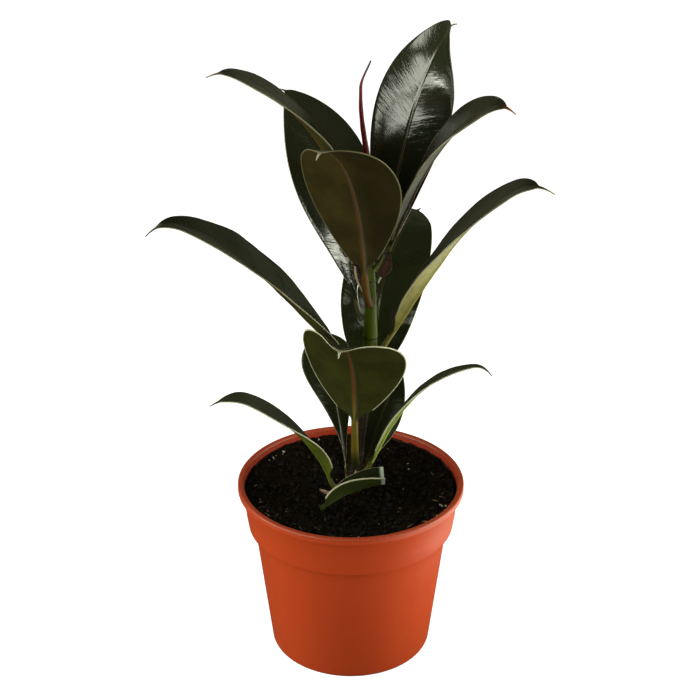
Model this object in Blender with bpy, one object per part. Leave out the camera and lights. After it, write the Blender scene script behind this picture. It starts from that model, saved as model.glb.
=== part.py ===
"""A young rubber plant growing in a round plastic nursery pot.

Metres, +Z up, and the side that is seen most faces -Y. The origin is the centre of the
pot's flat underside. Every leaf is one piece with its petiole, modelled with its heading
along its own +X axis, and is placed by the spot on the stem that it grows from.
Directions are in degrees: heading 0 is +X and 90 is +Y, rise is the angle above level.
"""

from math import atan2, cos, pi, radians, sin, sqrt

import bmesh
import bpy
from mathutils import Vector, noise

GAP = 0.0003                # between two pieces that touch

# Pot: a 12 cm nursery pot, its wide upper band stepped out from the tapering body
POT_SEGMENTS = 60
LIP_RADIUS = 0.060
LIP_TOP = 0.0977
LIP_HEIGHT = 0.0037
WALL = 0.0011
BAND_TOP_RADIUS = 0.0576    # the upper band, just under the lip
BAND_FOOT_RADIUS = 0.0548
BAND_FOOT = 0.0725          # height of the step under the band
BODY_RADIUS = 0.0428        # the body's outside, carried down to the floor's level
BODY_FLARE = 0.121          # and what it gains for each metre of height
FOOT_FILLET = 0.003
FLOOR = 0.0012
CHANNEL_RISE = 0.002        # the ring-shaped drain channel under the floor
CHANNEL_INNER, CHANNEL_OUTER = 0.013, 0.036
DRAIN_HOLES = 6
DRAIN_HOLE_RADIUS = 0.0032

# Soil
SOIL_TOP = 0.0902
SOIL_LUMP = 0.0009
SOIL_BANK = 0.0024          # how much higher the soil lies along the wall
SOIL_SEGMENTS = 48
SOIL_RINGS = 9

# Stem
STEM_FOOT, STEM_TOP = 0.058, 0.228
STEM_ROUND = 12
STEM_STEP = 0.005

# Leaves
PETIOLE_RADIUS = 0.0013
PETIOLE_FLARE = 0.0005      # extra radius where the petiole meets the stem
BLADE_HALF_THICKNESS = 0.00045
TIP_HALF_THICKNESS = 0.00025
MIDRIB_RIDGE = 0.0006
MIDRIB_STEPS = 132
PETIOLE_STEPS = 8
STATIONS = (0.015, 0.04, 0.08, 0.14, 0.22, 0.31, 0.41, 0.51, 0.61, 0.71, 0.80, 0.87, 0.92, 0.96, 1.0)
LATERAL = 3                 # divisions of each half of the blade
DRIP_TIP = 0.86             # where along the blade the narrow tip starts

# Where each leaf leaves the stem, how long its petiole and blade are, and how it arches:
# the blade leaves the petiole at the angle "rise" and ends at "tip", turning late or early
# by the power "late"; "hook" bends the tip further down from "hook_from" on. The fold and
# the roll change along the blade, sooner for a higher power "open"; "end" is where the
# blade's outline closes and the bare drip tip begins.
LEAVES = {
    "leaf_top_right": dict(
        height=0.211, heading=44.5, petiole=0.014, petiole_rise=45, length=0.1254, width=0.041,
        rise=79, tip=60, late=2.0, swing=-90, swing_late=3, fold=3, fold_tip=2, roll=40,
        hook=48, hook_from=0.945, peak=1.9, fullness=0.44, end=0.968),
    "leaf_upper_back_left": dict(
        height=0.190, heading=149, petiole=0.012, length=0.117, width=0.042, rise=84, tip=42,
        late=1.6, fold=1, fold_tip=1, roll=-32, hook=45, hook_from=0.93, peak=1.3, end=0.97),
    "leaf_upper_front": dict(
        height=0.202, heading=258, petiole=0.025, petiole_rise=45, stalk=0.0018, length=0.098,
        width=0.0475, rise=76.5, tip=14, late=2.4, swing=-20, swing_late=0.45, fold=4,
        fold_tip=4, roll=13, twist=-6, hook=60, hook_from=0.9, peak=1.35, fullness=0.58),
    "leaf_top_left": dict(
        height=0.223, heading=196, petiole=0.010, length=0.132, width=0.034, rise=82.8,
        tip=18.7, late=1.2, swing=10, fold=24, fold_tip=0, open=1.2, roll=4, twist=-18,
        hook=35, peak=1.15),
    "leaf_upper_right": dict(
        height=0.219, heading=338, petiole=0.010, length=0.115, width=0.0335, rise=69,
        tip=15.5, late=2.5, swing=-8, fold=26, fold_tip=8, open=1.3, roll=6, twist=14, hook=50,
        peak=1.7),
    "leaf_middle_right": dict(
        height=0.174, heading=342, petiole=0.012, length=0.126, width=0.0305, rise=61,
        tip=18.5, late=2.9, fold=66, fold_tip=7, open=2.6, roll=-4, twist=12, hook=48,
        hook_from=0.82, peak=1.5, fullness=0.52, end=0.93),
    "leaf_middle_left": dict(
        height=0.1625, heading=195, petiole=0.012, length=0.134, width=0.042, rise=51, tip=5,
        late=3.4, fold=20, fold_tip=8, open=1.3, roll=3, twist=-14, hook=50, hook_from=0.84,
        peak=0.85),
    "leaf_middle_back": dict(
        height=0.152, heading=67, petiole=0.008, length=0.107, width=0.0425, rise=83, tip=-10,
        late=1.3, fold=-6, fold_tip=-2, roll=12, peak=0.95, fullness=0.5),
    "leaf_lower_front": dict(
        height=0.110, heading=268, petiole=0.035, stalk=0.0018, length=0.077, width=0.055,
        rise=84, tip=14, late=1.5, swing=-13, swing_late=0.6, fold=7, fold_tip=18, roll=-7,
        hook=70, hook_from=0.88, peak=1.25, fullness=0.6),
    "leaf_low_back_left": dict(
        height=0.094, heading=125, petiole=0.004, length=0.082, width=0.0295, rise=80.5,
        tip=57, late=1.2, fold=8, roll=-12, peak=3.1, fullness=0.62),
    "leaf_low_back_right": dict(
        height=0.099, heading=35, petiole=0.008, length=0.057, width=0.0225, rise=73, tip=60,
        late=1.2, fold=4, roll=28, peak=1.1),
    "leaf_low_right": dict(
        height=0.103, heading=338, petiole=0.009, length=0.0975, width=0.015, rise=67.8, tip=7,
        late=1.8, swing=6, fold=10, twist=2, hook=60),
    "leaf_low_left": dict(
        height=0.093, heading=195, petiole=0.012, petiole_rise=5, length=0.090, width=0.027,
        rise=75, tip=25, late=0.72, fold=28, fold_tip=0, open=2, roll=22, twist=-24, hook=52,
        hook_from=0.72),
    "leaf_cut_short": dict(
        root=(-0.016, -0.021, 0.0925), heading=4, petiole=0.003, petiole_rise=16, length=0.034,
        width=0.019, rise=44, tip=3, late=0.8, fold=55, fold_tip=52, roll=-38, twist=40,
        fullness=0.5, cut=0.55),
}

# Terminal sheath, the red cone that wraps the next leaf
SHEATH_LENGTH = 0.098
SHEATH_RADIUS = 0.0021
SHEATH_TIP_RADIUS = 0.0004

# Withered scraps: their routes, chosen by hand, with half their width along the route
DRIED_STIPULE = [
    ((0.0146, -0.0037, 0.2172), 0.0020), ((0.0172, -0.0054, 0.2204), 0.0026),
    ((0.0186, -0.0063, 0.2250), 0.0018), ((0.0186, -0.0057, 0.2310), 0.0005)]
TORN_SHEATH = [
    ((0.0064, -0.0014, 0.2070), 0.0006), ((0.0047, -0.0026, 0.2120), 0.0012),
    ((0.0032, -0.0036, 0.2170), 0.0013), ((0.0024, -0.0040, 0.2225), 0.0007)]
DRIED_FIBRE = [
    ((0.0030, -0.0047, 0.1060), 0.0004), ((0.0016, -0.0054, 0.1028), 0.0005),
    ((-0.0012, -0.0062, 0.0993), 0.0005), ((-0.0045, -0.0075, 0.0950), 0.0005),
    ((-0.0065, -0.0086, 0.0917), 0.0004)]
PALE_STIPULE = [
    ((-0.0105, -0.0052, 0.0917), 0.0008), ((-0.0135, -0.0056, 0.0930), 0.0010),
    ((-0.0165, -0.0058, 0.0948), 0.0004)]
SCRAP_HALF_THICKNESS = 0.00025


def smooth(t):
    t = min(max(t, 0.0), 1.0)
    return t * t * (3 - 2 * t)


def material(name, colour, roughness):
    surface = bpy.data.materials.new(name)
    surface.use_nodes = True
    shader = surface.node_tree.nodes["Principled BSDF"]
    shader.inputs["Base Color"].default_value = (*colour, 1)
    shader.inputs["Roughness"].default_value = roughness
    shader.inputs["Metallic"].default_value = 0
    surface.diffuse_color = (*colour, 1)
    return surface


def part(name, bm, surface, sharp=40):
    """Makes the named object from a bmesh and shades its round sides smooth."""
    bmesh.ops.recalc_face_normals(bm, faces=bm.faces)
    mesh = bpy.data.meshes.new(name)
    bm.to_mesh(mesh)
    bm.free()
    mesh.materials.append(surface)
    mesh.shade_smooth()
    mesh.set_sharp_from_angle(angle=radians(sharp))
    made = bpy.data.objects.new(name, mesh)
    bpy.context.collection.objects.link(made)
    made.parent = plant
    return made


def cut(target, cutters):
    """Cuts the target with other objects, which stay as hidden guides."""
    for cutter in cutters:
        cutter.hide_render = True
        cutter.display_type = "WIRE"
        boolean = target.modifiers.new("cut", "BOOLEAN")
        boolean.operation = "DIFFERENCE"
        boolean.solver = "EXACT"
        boolean.object = cutter


def turned(section, segments):
    """Spins a section, from axis to axis, into a closed round body."""
    bm = bmesh.new()
    verts = [bm.verts.new((radius, 0, height)) for radius, height in section]
    edges = [bm.edges.new(pair) for pair in zip(verts, verts[1:])]
    bmesh.ops.spin(
        bm, geom=verts + edges, cent=(0, 0, 0), axis=(0, 0, 1),
        angle=2 * pi, steps=segments, use_merge=True)
    bmesh.ops.remove_doubles(bm, verts=bm.verts, dist=1e-6)
    return bm


def loft(rings):
    """Skins a row of rings that all have the same even number of points, ends capped.

    Each cap is a strip of faces between the ring's two halves, so a flat or folded ring
    closes without crossing itself.
    """
    bm = bmesh.new()
    rows = [[bm.verts.new(point) for point in ring] for ring in rings]
    count = len(rows[0])
    for row, following in zip(rows, rows[1:]):
        for i in range(count):
            j = (i + 1) % count
            bm.faces.new((row[i], row[j], following[j], following[i]))
    for row in (rows[0], rows[-1]):
        for i in range(count // 2):
            corners = (i, i + 1, count - i - 1, (count - i) % count)
            bm.faces.new([row[k] for k in dict.fromkeys(corners)])
    return bm


def tube(route, radii, sides):
    """Rings square to a route, for loft."""
    rings = []
    for i, (centre, radius) in enumerate(zip(route, radii)):
        along = (route[min(i + 1, len(route) - 1)] - route[max(i - 1, 0)]).normalized()
        across = Vector((0, 1, 0)).cross(along).normalized()
        upward = along.cross(across)
        angles = [2 * pi * k / sides for k in range(sides)]
        rings.append([centre + (across * cos(a) + upward * sin(a)) * radius for a in angles])
    return rings


# Pot

def pot_wall(height):
    """The body's outer radius below the band."""
    return BODY_RADIUS + BODY_FLARE * height


def arc(centre, radius, start, end, steps):
    """Points (radius, height) of an arc in a section, angles in degrees from level."""
    angles = [radians(start + (end - start) * i / steps) for i in range(steps + 1)]
    return [(centre[0] + radius * cos(a), centre[1] + radius * sin(a)) for a in angles]


def pot_inside(inset):
    """The hollow's outline from the floor's centre up to the lip, moved into the hollow."""
    channel = FLOOR + CHANNEL_RISE + inset
    floor = FLOOR + inset
    wall = WALL + inset
    step = BAND_FOOT + WALL + inset
    return [
        (0, floor),
        (CHANNEL_INNER - FLOOR - inset, floor),
        (CHANNEL_INNER, channel),
        (CHANNEL_OUTER, channel),
        (CHANNEL_OUTER + FLOOR + inset, floor),
        (pot_wall(FOOT_FILLET) - FOOT_FILLET, floor),
        (pot_wall(FOOT_FILLET) - wall, FOOT_FILLET + inset),
        (pot_wall(BAND_FOOT / 2) - wall, BAND_FOOT / 2),
        (pot_wall(BAND_FOOT) - wall, step - 0.0015),
        (pot_wall(BAND_FOOT) - wall + 0.0008, step - 0.0002),
        (BAND_FOOT_RADIUS - wall - 0.0008, step),
        (BAND_FOOT_RADIUS - wall, step + 0.0011),
    ]


def make_pot(surface):
    lip_foot = LIP_TOP - LIP_HEIGHT
    step_radius = pot_wall(BAND_FOOT)
    mouth = BAND_TOP_RADIUS - WALL
    section = pot_inside(0)
    section += [(mouth, lip_foot)]
    section += arc((mouth + 0.0014, LIP_TOP - 0.0012), 0.0012, 180, 90, 3)
    section += arc((LIP_RADIUS - 0.0009, LIP_TOP - 0.0009), 0.0009, 90, 0, 3)
    section += arc((LIP_RADIUS - 0.0006, lip_foot + 0.0006), 0.0006, 0, -90, 2)
    section += [(BAND_TOP_RADIUS, lip_foot)]
    section += arc((BAND_FOOT_RADIUS - 0.0011, BAND_FOOT + 0.0011), 0.0011, 0, -90, 3)
    section += [(step_radius + 0.0007, BAND_FOOT - 0.0001), (step_radius, BAND_FOOT - 0.0010)]
    section += arc(
        (pot_wall(FOOT_FILLET) - FOOT_FILLET, FOOT_FILLET), FOOT_FILLET, 0, -90, 4)
    section += [
        (CHANNEL_OUTER + 0.0004, 0), (CHANNEL_OUTER - 0.0008, CHANNEL_RISE),
        (CHANNEL_INNER + 0.0008, CHANNEL_RISE), (CHANNEL_INNER - 0.0004, 0), (0, 0)]
    pot = part("pot", turned(section, POT_SEGMENTS), surface)

    drills = []
    around = (CHANNEL_INNER + CHANNEL_OUTER) / 2
    for k in range(DRAIN_HOLES):
        angle = 2 * pi * k / DRAIN_HOLES
        bm = bmesh.new()
        bmesh.ops.create_cone(
            bm, cap_ends=True, segments=16, radius1=DRAIN_HOLE_RADIUS,
            radius2=DRAIN_HOLE_RADIUS, depth=0.010)
        drill = part(f"drain_drill_{k + 1}", bm, surface)
        drill.location = (around * cos(angle), around * sin(angle), CHANNEL_RISE)
        drills.append(drill)
    cut(pot, drills)


# Soil

def soil_lump(x, y):
    """How far the soil's surface lies above its level."""
    coarse = noise.noise(Vector((x * 75, y * 75, 3.0)))
    fine = noise.noise(Vector((x * 210, y * 210, 8.0)))
    return SOIL_LUMP * (0.8 * coarse + 0.5 * fine)


def make_soil(surface):
    """The pot's whole inside, filled to below the lip, with a socket for the stem."""
    edge = BAND_FOOT_RADIUS - WALL - GAP + (SOIL_TOP - BAND_FOOT) * (
        BAND_TOP_RADIUS - BAND_FOOT_RADIUS) / (LIP_TOP - LIP_HEIGHT - BAND_FOOT)
    section = pot_inside(GAP) + [(edge - 0.0003, SOIL_TOP - 0.002)]
    section += [
        (edge * ring / SOIL_RINGS, SOIL_TOP) for ring in range(SOIL_RINGS - 1, -1, -1)]
    bm = turned(section, SOIL_SEGMENTS)
    for vert in bm.verts:
        if vert.co.z > SOIL_TOP - 0.0021:
            vert.co.z += SOIL_BANK * smooth((vert.co.xy.length / edge - 0.6) / 0.3)
        if vert.co.z > SOIL_TOP - 1e-5:
            vert.co.z += soil_lump(vert.co.x, vert.co.y)
    soil = part("soil", bm, surface, sharp=60)

    socket_top = SOIL_TOP + 0.010
    socket_foot = STEM_FOOT - GAP
    bm = bmesh.new()
    bmesh.ops.create_cone(
        bm, cap_ends=True, segments=24, radius1=stem_radius(STEM_FOOT) + GAP,
        radius2=stem_radius(STEM_FOOT) + GAP, depth=socket_top - socket_foot)
    socket = part("stem_socket", bm, surface)
    socket.location = stem_centre((socket_top + socket_foot) / 2)
    cut(soil, [socket])


# Stem

def stem_centre(height):
    """The stem leans a little to +X above the soil and comes back near the top."""
    lean = 0.0020 + 0.0080 * smooth((height - 0.095) / 0.095)
    return Vector((lean - 0.0030 * smooth((height - 0.200) / 0.080), 0, height))


def stem_radius(height):
    return 0.0040 - 0.0016 * smooth((height - 0.165) / 0.060)


def make_stem(surface):
    steps = round((STEM_TOP - STEM_FOOT) / STEM_STEP)
    heights = [STEM_FOOT + (STEM_TOP - STEM_FOOT) * i / steps for i in range(steps + 1)]
    route = [stem_centre(height) for height in heights]
    radii = [stem_radius(height) for height in heights]
    part("stem", loft(tube(route, radii, STEM_ROUND)), surface)


# Leaves

def leaf_axes(heading, rise, roll):
    """Unit vectors along the leaf, to its left and up from its upper side."""
    along = Vector((cos(rise) * cos(heading), cos(rise) * sin(heading), sin(rise)))
    left = Vector((-sin(heading), cos(heading), 0))
    upward = along.cross(left)
    side = left * cos(roll) + upward * sin(roll)
    return along, side, upward * cos(roll) - left * sin(roll)


def half_width(leaf, u):
    """Half the blade's width at u, from 0 at its base to 1 at its end."""
    shown = u * leaf.get("cut", 1.0) / leaf.get("end", 0.955)
    width = 0.0
    if shown < 1:
        width = sin(pi * shown ** leaf.get("peak", 0.92)) ** leaf.get("fullness", 0.8)
    width *= leaf["width"] / 2
    if "cut" not in leaf and u > DRIP_TIP:
        width = max(width, 0.0026 * ((1 - u) / (1 - DRIP_TIP)) ** 1.25 + 0.00025)
    return width


def petiole_route(leaf):
    """Points of the petiole in the leaf's own axes, turning up into the blade's rise."""
    start, end = radians(leaf.get("petiole_rise", 55)), radians(leaf["rise"])
    points = [Vector((0, 0, 0))]
    for i in range(PETIOLE_STEPS):
        rise = start + (end - start) * smooth((i + 0.5) / PETIOLE_STEPS)
        step = leaf["petiole"] / PETIOLE_STEPS
        points.append(points[-1] + Vector((cos(rise), 0, sin(rise))) * step)
    return points


def opened(leaf, u):
    """How far the fold and the twist have gone at u, from their base to their tip values."""
    return 1 - (1 - u) ** leaf.get("open", 1.0)


def blade_axes(leaf, u):
    rise, tip = leaf["rise"], leaf["tip"]
    bend = rise + (tip - rise) * u ** leaf.get("late", 1.5)
    hook_from = leaf.get("hook_from", DRIP_TIP)
    bend -= leaf.get("hook", 0) * smooth((u - hook_from) / (1 - hook_from))
    swing = leaf.get("swing", 0) * u ** leaf.get("swing_late", 1.0)
    roll = leaf.get("roll", 0) + leaf.get("twist", 0) * opened(leaf, u)
    return leaf_axes(radians(swing), radians(bend), radians(roll))


def midrib(leaf, start):
    """The midrib's points, evenly spaced, from the end of the petiole to the tip."""
    points = [start]
    for i in range(MIDRIB_STEPS):
        along, _, _ = blade_axes(leaf, (i + 0.5) / MIDRIB_STEPS)
        points.append(points[-1] + along * leaf["length"] / MIDRIB_STEPS)
    return points


def petiole_ring(centre, side, upward, radius):
    """A ring of as many points as a blade ring has, starting at the left side."""
    count = 4 * LATERAL
    angles = [2 * pi * k / count for k in range(count)]
    return [centre + (side * cos(a) + upward * sin(a)) * radius for a in angles]


def blade_ring(leaf, u, centre):
    """The section of the blade at u: a shallow V with its thickness, and the midrib below."""
    _, side, upward = blade_axes(leaf, u)
    fold = leaf.get("fold", 15)
    fold = radians(fold + (leaf.get("fold_tip", fold * 0.5) - fold) * opened(leaf, u))
    root = 1 - smooth(u / 0.10)
    stalk = leaf.get("stalk", PETIOLE_RADIUS)
    width = max(half_width(leaf, u), stalk * root)
    thin = BLADE_HALF_THICKNESS
    if "cut" not in leaf:
        thin += (TIP_HALF_THICKNESS - thin) * smooth((u - 0.80) / 0.20)
    ring = []
    for k, round_point in enumerate(petiole_ring(centre, side, upward, stalk)):
        above = k <= 2 * LATERAL
        v = 1 - k / LATERAL if above else k / LATERAL - 3
        half = thin if abs(v) < 1 else 0.0
        if not above and v == 0:
            half += MIDRIB_RIDGE * (1 - u)
        flat = centre + side * (width * v * cos(fold))
        flat += upward * (width * abs(v) * sin(fold) + (half if above else -half))
        ring.append(flat.lerp(round_point, root))
    return ring


def seated(point, height, heading):
    """A point of the petiole's foot, slid level onto the stem's skin, a gap away from it."""
    offset = stem_centre(height + point.z) - stem_centre(height)
    across = point.y - (cos(heading) * offset.y - sin(heading) * offset.x)
    reach = stem_radius(height + point.z) + GAP
    forward = sqrt(reach ** 2 - across ** 2)
    forward += cos(heading) * offset.x + sin(heading) * offset.y
    return Vector((forward, point.y, point.z))


def make_leaf(name, leaf, surface):
    heading = radians(leaf["heading"])
    on_stem = "root" not in leaf
    reach = 0.0
    place = Vector(leaf.get("root", (0, 0, 0)))
    if on_stem:
        place = stem_centre(leaf["height"])
        reach = stem_radius(leaf["height"]) + 0.00115
    rings = []
    route = [point + Vector((reach, 0, 0)) for point in petiole_route(leaf)]
    for i, centre in enumerate(route):
        if i % 2:
            continue
        before, after = route[max(i - 1, 0)], route[min(i + 1, PETIOLE_STEPS)]
        rise = atan2(after.z - before.z, after.x - before.x)
        roll = radians(leaf.get("roll", 0)) * i / PETIOLE_STEPS
        _, side, upward = leaf_axes(0, rise, roll)
        radius = leaf.get("stalk", PETIOLE_RADIUS)
        radius += PETIOLE_FLARE * (1 - i / PETIOLE_STEPS) ** 2
        rings.append(petiole_ring(centre, side, upward, radius))
    if on_stem:
        rings[0] = [seated(point, leaf["height"], heading) for point in rings[0]]
    points = midrib(leaf, route[-1])
    for u in STATIONS:
        rings.append(blade_ring(leaf, u, points[round(u * MIDRIB_STEPS)]))
    made = part(name, loft(rings), surface, sharp=75)
    made.location = place
    made.rotation_euler.z = heading


# Terminal sheath and withered scraps

def sheath_centre(height):
    """The sheath bows to -X and its dry tip curls back."""
    bow = 0.0046 * smooth((height - 0.262) / 0.046)
    curl = 0.0056 * smooth((height - 0.313) / 0.018)
    return stem_centre(STEM_TOP) + Vector((curl - bow, 0, height - STEM_TOP))


def make_sheath(surface):
    steps = 16
    foot = STEM_TOP + GAP
    route, radii = [], []
    for i in range(steps + 1):
        t = i / steps
        route.append(sheath_centre(foot + SHEATH_LENGTH * t))
        radii.append(SHEATH_TIP_RADIUS + (SHEATH_RADIUS - SHEATH_TIP_RADIUS) * (1 - t ** 1.6))
    part("terminal_sheath", loft(tube(route, radii, 10)), surface)


def make_scrap(name, stops, surface):
    """A thin withered strip that follows its route, facing -Y."""
    rings = []
    for i, (stop, width) in enumerate(stops):
        before, after = stops[max(i - 1, 0)][0], stops[min(i + 1, len(stops) - 1)][0]
        along = (Vector(after) - Vector(before)).normalized()
        across = along.cross(Vector((0, 1, 0))).normalized()
        upward = across.cross(along)
        centre, half = Vector(stop), SCRAP_HALF_THICKNESS
        rings.append([
            centre + across * width, centre + upward * half,
            centre - across * width, centre - upward * half])
    part(name, loft(rings), surface)


for old in list(bpy.data.objects):
    bpy.data.objects.remove(old, do_unlink=True)

plant = bpy.data.objects.new("plant", None)
bpy.context.collection.objects.link(plant)

make_pot(material("terracotta_plastic", (0.50, 0.10, 0.035), 0.40))
make_soil(material("potting_soil", (0.012, 0.010, 0.008), 0.95))
make_stem(material("stem_green", (0.06, 0.13, 0.02), 0.45))
leaf_surface = material("leaf_green", (0.015, 0.035, 0.012), 0.25)
for leaf_name, leaf_values in LEAVES.items():
    make_leaf(leaf_name, leaf_values, leaf_surface)
make_sheath(material("sheath_red", (0.22, 0.01, 0.015), 0.35))
withered = material("withered_brown", (0.16, 0.09, 0.04), 0.80)
make_scrap("dried_stipule", DRIED_STIPULE, withered)
make_scrap("torn_sheath", TORN_SHEATH, withered)
make_scrap("dried_fibre", DRIED_FIBRE, withered)
make_scrap("pale_stipule", PALE_STIPULE, withered)
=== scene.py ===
"""The looks of a young rubber plant in a round nursery pot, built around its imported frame.

Metres, +Z up. Pot first, then soil, stem, leaves, sheath and scraps, then the studio.
"""

from math import cos, hypot, pi, radians, sin

import bmesh
import bpy
import numpy as np
from mathutils import Matrix, Vector, noise


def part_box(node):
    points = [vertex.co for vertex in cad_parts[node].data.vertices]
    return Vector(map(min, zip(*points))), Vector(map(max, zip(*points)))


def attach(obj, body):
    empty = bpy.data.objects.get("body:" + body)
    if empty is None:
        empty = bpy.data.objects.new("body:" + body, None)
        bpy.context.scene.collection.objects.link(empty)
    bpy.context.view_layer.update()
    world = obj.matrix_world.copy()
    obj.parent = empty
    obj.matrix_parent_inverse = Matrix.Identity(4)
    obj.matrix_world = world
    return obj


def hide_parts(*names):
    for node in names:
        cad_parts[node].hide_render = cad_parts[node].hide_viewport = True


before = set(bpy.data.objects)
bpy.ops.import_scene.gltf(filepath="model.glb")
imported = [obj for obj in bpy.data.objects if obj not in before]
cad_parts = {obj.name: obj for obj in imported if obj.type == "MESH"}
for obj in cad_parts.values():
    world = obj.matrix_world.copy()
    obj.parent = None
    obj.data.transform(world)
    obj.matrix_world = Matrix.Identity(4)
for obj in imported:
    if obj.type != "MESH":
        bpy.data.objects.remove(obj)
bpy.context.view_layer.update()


# ---------------------------------------------------------------- Pot
# A thin moulded pot of orange plastic. Its body tapers to a rounded foot, a wider band
# runs around the top under a rolled lip, and the raised ring of the floor is drilled.

POT_SIDES = 192
LIP_RADIUS, _, LIP_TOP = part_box("pot")[1]
LIP_HEIGHT = 0.0037
LIP_EDGE, LIP_FOOT_EDGE, MOUTH_EDGE = 0.0009, 0.0006, 0.0012    # how round its edges are
WALL = 0.0011
BAND_TOP_RADIUS = LIP_RADIUS - 0.0024
BAND_FOOT_RADIUS = LIP_RADIUS - 0.0052
BAND_FOOT = 0.0725
BAND_FOOT_EDGE = 0.0010
BODY_RADIUS, BODY_FLARE = 0.0428, 0.121     # at the floor's level, and gained per metre
FOOT_FILLET = 0.003
FLOOR = 0.0012
CHANNEL_RISE = 0.002        # the ring of the floor that stands off the ground
CHANNEL_INNER, CHANNEL_OUTER = 0.013, 0.036
DRAIN_HOLES, DRAIN_HOLE_RADIUS, DRILL_LENGTH = 6, 0.0032, 0.01


def deselect():
    if bpy.context.object and bpy.context.mode != "OBJECT":
        bpy.ops.object.mode_set(mode="OBJECT")
    bpy.ops.object.select_all(action="DESELECT")


def named(name):
    """Names the object just added, and its mesh."""
    made = bpy.context.object
    made.name = made.data.name = name
    return made


def fill_sockets(node, inputs):
    """Links each of a node's sockets to another node's, or sets its own value."""
    for socket, value in inputs.items():
        if isinstance(value, bpy.types.NodeSocket):
            node.id_data.links.new(value, node.inputs[socket])
        else:
            node.inputs[socket].default_value = value


def add_node(tree, kind, inputs=(), **settings):
    made = tree.nodes.new("ShaderNode" + kind)
    for setting, value in settings.items():
        setattr(made, setting, value)
    fill_sockets(made, dict(inputs))
    return made


def maths(tree, operation, *values, clamp=False):
    inputs = dict(enumerate(values))
    return add_node(tree, "Math", inputs, operation=operation, use_clamp=clamp).outputs[0]


def mixed(tree, factor, first, second, blend="MIX"):
    """Two colours mixed by a factor."""
    colours = [c if isinstance(c, bpy.types.NodeSocket) else (*c, 1) for c in (first, second)]
    inputs = {0: factor, 6: colours[0], 7: colours[1]}
    return add_node(tree, "Mix", inputs, data_type="RGBA", blend_type=blend).outputs[2]


def fade(tree, value, start, end):
    """0 where the value is at start, 1 where it is at end, smooth between."""
    inputs = {"Value": value, "From Min": start, "From Max": end}
    return add_node(
        tree, "MapRange", inputs, interpolation_type="SMOOTHSTEP").outputs["Result"]


def speckle(tree, coords, scale, detail=3.0, roughness=0.5, distortion=0.0):
    inputs = {"Vector": coords, "Scale": scale, "Detail": detail, "Roughness": roughness,
              "Distortion": distortion}
    return add_node(tree, "TexNoise", inputs).outputs["Fac"]


def bumped(tree, height, strength, distance, normal=None):
    inputs = {"Height": height, "Strength": strength, "Distance": distance}
    if normal:
        inputs["Normal"] = normal
    return add_node(tree, "Bump", inputs).outputs["Normal"]


def new_finish(name):
    """An empty Principled material: its tree and its shader."""
    made = bpy.data.materials.new(name)
    made.use_nodes = True
    return made, made.node_tree, made.node_tree.nodes["Principled BSDF"]


def object_coords(tree):
    return add_node(tree, "TexCoord").outputs["Object"]


def moulded_plastic():
    """Orange plastic with faint clouds and flow lines, soiled inside and dusty on its lip."""
    made, tree, shader = new_finish("moulded_orange_plastic")
    coords = object_coords(tree)
    height = add_node(tree, "SeparateXYZ", {0: coords}).outputs[2]
    cloudy = speckle(tree, coords, 28, 4, 0.6)
    flow = speckle(tree, add_node(tree, "Mapping", {
        "Vector": coords, "Scale": (1, 1, 0.12)}).outputs[0], 150, 3, 0.55)
    colour = mixed(tree, cloudy, (0.54, 0.054, 0.012), (0.64, 0.070, 0.016))
    colour = mixed(tree, maths(tree, "MULTIPLY", flow, 0.35), colour, (0.60, 0.076, 0.018))

    # The inner wall wears a film of soil, thicker in splashes that rise from the bed
    inner = add_node(tree, "Attribute", attribute_name="inside").outputs["Fac"]
    colour = mixed(tree, maths(tree, "MULTIPLY", inner, 0.6), colour, (0.420, 0.034, 0.016))
    splash = maths(tree, "ADD", speckle(tree, coords, 200, 5, 0.65), fade(
        tree, height, LIP_TOP - 0.0012, LIP_TOP - 0.0062))
    soiled = maths(tree, "MULTIPLY", fade(tree, splash, 0.92, 1.02), inner)
    colour = mixed(tree, maths(tree, "MULTIPLY", soiled, 0.95), colour, (0.008, 0.005, 0.003))

    # The lip's top is browner, with dust on it
    lip = fade(tree, height, LIP_TOP - 0.0022, LIP_TOP - 0.0008)
    colour = mixed(tree, maths(tree, "MULTIPLY", lip, 0.45), colour, (0.30, 0.036, 0.020))
    dust = maths(tree, "MULTIPLY", fade(tree, speckle(tree, coords, 900, 3, 0.6), 0.58, 0.68),
                 fade(tree, height, LIP_TOP - 0.0026, LIP_TOP - 0.0012))
    colour = mixed(tree, maths(tree, "MULTIPLY", dust, 0.6), colour, (0.34, 0.20, 0.08))

    scuffs = speckle(tree, coords, 420, 5, 0.7)
    rough = maths(tree, "ADD", 0.30, maths(tree, "MULTIPLY", scuffs, 0.16))
    rough = maths(tree, "ADD", rough, maths(tree, "MULTIPLY", soiled, 0.6))
    warp = bumped(tree, cloudy, 0.35, 0.0012)
    fill_sockets(shader, {
        "Base Color": colour, "Roughness": rough, "Specular IOR Level": 0.45,
        "Normal": bumped(tree, scuffs, 0.18, 0.00010, warp)})
    return made


def pot_wall(height):
    """The outer radius of the body below the band."""
    return BODY_RADIUS + BODY_FLARE * height


def arc(centre, radius, start, end, steps):
    """Points (radius, height) of an arc in the pot's section."""
    angles = [radians(start + (end - start) * i / steps) for i in range(steps + 1)]
    return [(centre[0] + radius * cos(a), centre[1] + radius * sin(a)) for a in angles]


def drag_rings(section, at):
    """Extrudes the selected disc or ring from one section point to the next."""
    for radius, height in section:
        bpy.ops.mesh.extrude_region_move(
            TRANSFORM_OT_translate={"value": (0, 0, height - at[1])})
        scale = radius / at[0]
        bpy.ops.transform.resize(value=(scale, scale, 1), center_override=(0, 0, height))
        at = (radius, height)


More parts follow.
